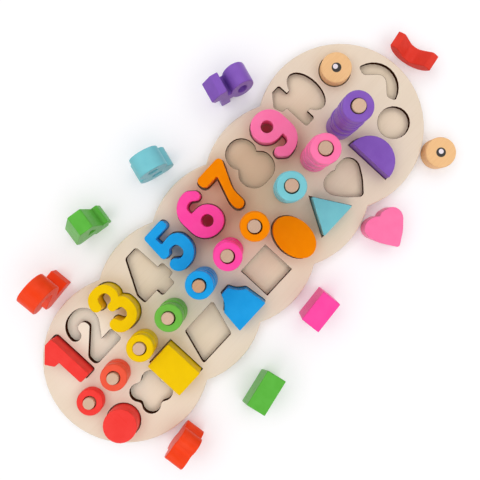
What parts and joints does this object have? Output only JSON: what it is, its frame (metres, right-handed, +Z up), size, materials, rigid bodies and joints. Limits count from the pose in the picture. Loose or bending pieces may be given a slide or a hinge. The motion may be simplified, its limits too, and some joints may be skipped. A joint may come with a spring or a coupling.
{
  "type": "wooden shape sorting board",
  "caption": "Wooden sorting board with five round lobes, recesses for number, shape and face blocks and a row of pegs with counting rings.",
  "frame": {"origin": "middle of the underside of the board, on the table", "axes": "+X along the board towards its head end with the eyes and mouth, +Y towards the row of numbers, +Z up"},
  "size_m": [0.4197, 0.2184, 0.088],
  "materials": {
    "red_paint": "satin paint on wood",
    "vermilion_paint": "satin paint on wood",
    "yellow_paint": "satin paint on wood",
    "green_paint": "satin paint on wood",
    "blue_paint": "satin paint on wood",
    "hot_pink_paint": "satin paint on wood",
    "orange_paint": "satin paint on wood",
    "turquoise_paint": "satin paint on wood",
    "light_pink_paint": "satin paint on wood",
    "purple_paint": "satin paint on wood",
    "plywood": "clear sanded plywood",
    "plywood_base": "clear sanded plywood",
    "dowel_wood": "bare sanded dowel",
    "stained_eye_wood": "honey stain, matt"
  },
  "bodies": {
    "board": {"board_base": "plywood_base", "board_top": "plywood", "peg_1": "dowel_wood", "peg_2": "dowel_wood", "peg_3": "dowel_wood", "peg_4": "dowel_wood", "peg_5": "dowel_wood", "peg_6": "dowel_wood", "peg_7": "dowel_wood", "peg_8": "dowel_wood", "peg_9": "dowel_wood", "peg_10": "dowel_wood"},
    "number_1": {"number_1": "red_paint"},
    "number_2": {"number_2": "vermilion_paint"},
    "number_3": {"number_3": "yellow_paint"},
    "number_4": {"number_4": "green_paint"},
    "number_5": {"number_5": "blue_paint"},
    "number_6": {"number_6": "hot_pink_paint"},
    "number_7": {"number_7": "orange_paint"},
    "number_8": {"number_8": "turquoise_paint"},
    "number_9": {"number_9": "light_pink_paint"},
    "number_10": {"number_10": "purple_paint"},
    "shape_circle": {"shape_circle": "red_paint"},
    "shape_flower": {"shape_flower": "vermilion_paint"},
    "shape_rectangle": {"shape_rectangle": "yellow_paint"},
    "shape_rhombus": {"shape_rhombus": "green_paint"},
    "shape_bottle": {"shape_bottle": "blue_paint"},
    "shape_square": {"shape_square": "hot_pink_paint"},
    "shape_ellipse": {"shape_ellipse": "orange_paint"},
    "shape_triangle": {"shape_triangle": "turquoise_paint"},
    "shape_heart": {"shape_heart": "light_pink_paint"},
    "shape_semicircle": {"shape_semicircle": "purple_paint"},
    "eye_left": {"eye_left": "stained_eye_wood"},
    "eye_right": {"eye_right": "stained_eye_wood"},
    "mouth": {"mouth": "red_paint"},
    "ring_1_1": {"ring_1_1": "red_paint"},
    "ring_2_1": {"ring_2_1": "vermilion_paint"},
    "ring_2_2": {"ring_2_2": "vermilion_paint"},
    "ring_3_1": {"ring_3_1": "yellow_paint"},
    "ring_3_2": {"ring_3_2": "yellow_paint"},
    "ring_3_3": {"ring_3_3": "yellow_paint"},
    "ring_4_1": {"ring_4_1": "green_paint"},
    "ring_4_2": {"ring_4_2": "green_paint"},
    "ring_4_3": {"ring_4_3": "green_paint"},
    "ring_4_4": {"ring_4_4": "green_paint"},
    "ring_5_1": {"ring_5_1": "blue_paint"},
    "ring_5_2": {"ring_5_2": "blue_paint"},
    "ring_5_3": {"ring_5_3": "blue_paint"},
    "ring_5_4": {"ring_5_4": "blue_paint"},
    "ring_5_5": {"ring_5_5": "blue_paint"},
    "stack_6": {"stack_6": "hot_pink_paint"},
    "ring_6_top": {"ring_6_top": "hot_pink_paint"},
    "stack_7": {"stack_7": "orange_paint"},
    "ring_7_top": {"ring_7_top": "orange_paint"},
    "stack_8": {"stack_8": "turquoise_paint"},
    "ring_8_top": {"ring_8_top": "turquoise_paint"},
    "stack_9": {"stack_9": "light_pink_paint"},
    "ring_9_top": {"ring_9_top": "light_pink_paint"},
    "stack_10": {"stack_10": "purple_paint"},
    "ring_10_top": {"ring_10_top": "purple_paint"}
  },
  "joints": [
    {"name": "number_1_lift", "type": "slide", "parent": "board", "child": "number_1", "axis": [0, 0, 1], "range_m": [0, 0.01]},
    {"name": "number_2_lift", "type": "slide", "parent": "board", "child": "number_2", "axis": [0, 0, 1], "range_m": [0, 0.012]},
    {"name": "number_3_lift", "type": "slide", "parent": "board", "child": "number_3", "axis": [0, 0, 1], "range_m": [0, 0.01]},
    {"name": "number_4_lift", "type": "slide", "parent": "board", "child": "number_4", "axis": [0, 0, 1], "range_m": [0, 0.012]},
    {"name": "number_5_lift", "type": "slide", "parent": "board", "child": "number_5", "axis": [0, 0, 1], "range_m": [0, 0.01]},
    {"name": "number_6_lift", "type": "slide", "parent": "board", "child": "number_6", "axis": [0, 0, 1], "range_m": [0, 0.01]},
    {"name": "number_7_lift", "type": "slide", "parent": "board", "child": "number_7", "axis": [0, 0, 1], "range_m": [0, 0.01]},
    {"name": "number_8_lift", "type": "slide", "parent": "board", "child": "number_8", "axis": [0, 0, 1], "range_m": [0, 0.012]},
    {"name": "number_9_lift", "type": "slide", "parent": "board", "child": "number_9", "axis": [0, 0, 1], "range_m": [0, 0.01]},
    {"name": "number_10_lift", "type": "slide", "parent": "board", "child": "number_10", "axis": [0, 0, 1], "range_m": [0, 0.012]},
    {"name": "shape_circle_lift", "type": "slide", "parent": "board", "child": "shape_circle", "axis": [0, 0, 1], "range_m": [0, 0.01]},
    {"name": "shape_flower_lift", "type": "slide", "parent": "board", "child": "shape_flower", "axis": [0, 0, 1], "range_m": [0, 0.012]},
    {"name": "shape_rectangle_lift", "type": "slide", "parent": "board", "child": "shape_rectangle", "axis": [0, 0, 1], "range_m": [0, 0.01]},
    {"name": "shape_rhombus_lift", "type": "slide", "parent": "board", "child": "shape_rhombus", "axis": [0, 0, 1], "range_m": [0, 0.012]},
    {"name": "shape_bottle_lift", "type": "slide", "parent": "board", "child": "shape_bottle", "axis": [0, 0, 1], "range_m": [0, 0.01]},
    {"name": "shape_square_lift", "type": "slide", "parent": "board", "child": "shape_square", "axis": [0, 0, 1], "range_m": [0, 0.012]},
    {"name": "shape_ellipse_lift", "type": "slide", "parent": "board", "child": "shape_ellipse", "axis": [0, 0, 1], "range_m": [0, 0.01]},
    {"name": "shape_triangle_lift", "type": "slide", "parent": "board", "child": "shape_triangle", "axis": [0, 0, 1], "range_m": [0, 0.01]},
    {"name": "shape_heart_lift", "type": "slide", "parent": "board", "child": "shape_heart", "axis": [0, 0, 1], "range_m": [0, 0.012]},
    {"name": "shape_semicircle_lift", "type": "slide", "parent": "board", "child": "shape_semicircle", "axis": [0, 0, 1], "range_m": [0, 0.01]},
    {"name": "eye_left_lift", "type": "slide", "parent": "board", "child": "eye_left", "axis": [0, 0, 1], "range_m": [0, 0.01]},
    {"name": "eye_right_lift", "type": "slide", "parent": "board", "child": "eye_right", "axis": [0, 0, 1], "range_m": [0, 0.012]},
    {"name": "mouth_lift", "type": "slide", "parent": "board", "child": "mouth", "axis": [0, 0, 1], "range_m": [0, 0.012]},
    {"name": "ring_1_1_lift", "type": "slide", "parent": "board", "child": "ring_1_1", "axis": [0, 0, 1], "range_m": [0, 0.00975]},
    {"name": "ring_2_1_lift", "type": "slide", "parent": "board", "child": "ring_2_1", "axis": [0, 0, 1], "range_m": [0, 0.0175]},
    {"name": "ring_2_2_lift", "type": "slide", "parent": "ring_2_1", "child": "ring_2_2", "axis": [0, 0, 1], "range_m": [0, 0.00975]},
    {"name": "ring_3_1_lift", "type": "slide", "parent": "board", "child": "ring_3_1", "axis": [0, 0, 1], "range_m": [0, 0.02525]},
    {"name": "ring_3_2_lift", "type": "slide", "parent": "ring_3_1", "child": "ring_3_2", "axis": [0, 0, 1], "range_m": [0, 0.0175]},
    {"name": "ring_3_3_lift", "type": "slide", "parent": "ring_3_2", "child": "ring_3_3", "axis": [0, 0, 1], "range_m": [0, 0.00975]},
    {"name": "ring_4_1_lift", "type": "slide", "parent": "board", "child": "ring_4_1", "axis": [0, 0, 1], "range_m": [0, 0.033]},
    {"name": "ring_4_2_lift", "type": "slide", "parent": "ring_4_1", "child": "ring_4_2", "axis": [0, 0, 1], "range_m": [0, 0.02525]},
    {"name": "ring_4_3_lift", "type": "slide", "parent": "ring_4_2", "child": "ring_4_3", "axis": [0, 0, 1], "range_m": [0, 0.0175]},
    {"name": "ring_4_4_lift", "type": "slide", "parent": "ring_4_3", "child": "ring_4_4", "axis": [0, 0, 1], "range_m": [0, 0.00975]},
    {"name": "ring_5_1_lift", "type": "slide", "parent": "board", "child": "ring_5_1", "axis": [0, 0, 1], "range_m": [0, 0.04075]},
    {"name": "ring_5_2_lift", "type": "slide", "parent": "ring_5_1", "child": "ring_5_2", "axis": [0, 0, 1], "range_m": [0, 0.033]},
    {"name": "ring_5_3_lift", "type": "slide", "parent": "ring_5_2", "child": "ring_5_3", "axis": [0, 0, 1], "range_m": [0, 0.02525]},
    {"name": "ring_5_4_lift", "type": "slide", "parent": "ring_5_3", "child": "ring_5_4", "axis": [0, 0, 1], "range_m": [0, 0.0175]},
    {"name": "ring_5_5_lift", "type": "slide", "parent": "ring_5_4", "child": "ring_5_5", "axis": [0, 0, 1], "range_m": [0, 0.00975]},
    {"name": "stack_6_lift", "type": "slide", "parent": "board", "child": "stack_6", "axis": [0, 0, 1], "range_m": [0, 0.0485]},
    {"name": "ring_6_top_lift", "type": "slide", "parent": "stack_6", "child": "ring_6_top", "axis": [0, 0, 1], "range_m": [0, 0.00975]},
    {"name": "stack_7_lift", "type": "slide", "parent": "board", "child": "stack_7", "axis": [0, 0, 1], "range_m": [0, 0.05625]},
    {"name": "ring_7_top_lift", "type": "slide", "parent": "stack_7", "child": "ring_7_top", "axis": [0, 0, 1], "range_m": [0, 0.00975]},
    {"name": "stack_8_lift", "type": "slide", "parent": "board", "child": "stack_8", "axis": [0, 0, 1], "range_m": [0, 0.064]},
    {"name": "ring_8_top_lift", "type": "slide", "parent": "stack_8", "child": "ring_8_top", "axis": [0, 0, 1], "range_m": [0, 0.00975]},
    {"name": "stack_9_lift", "type": "slide", "parent": "board", "child": "stack_9", "axis": [0, 0, 1], "range_m": [0, 0.07175]},
    {"name": "ring_9_top_lift", "type": "slide", "parent": "stack_9", "child": "ring_9_top", "axis": [0, 0, 1], "range_m": [0, 0.00975]},
    {"name": "stack_10_lift", "type": "slide", "parent": "board", "child": "stack_10", "axis": [0, 0, 1], "range_m": [0, 0.0795]},
    {"name": "ring_10_top_lift", "type": "slide", "parent": "stack_10", "child": "ring_10_top", "axis": [0, 0, 1], "range_m": [0, 0.00975]}
  ]
}
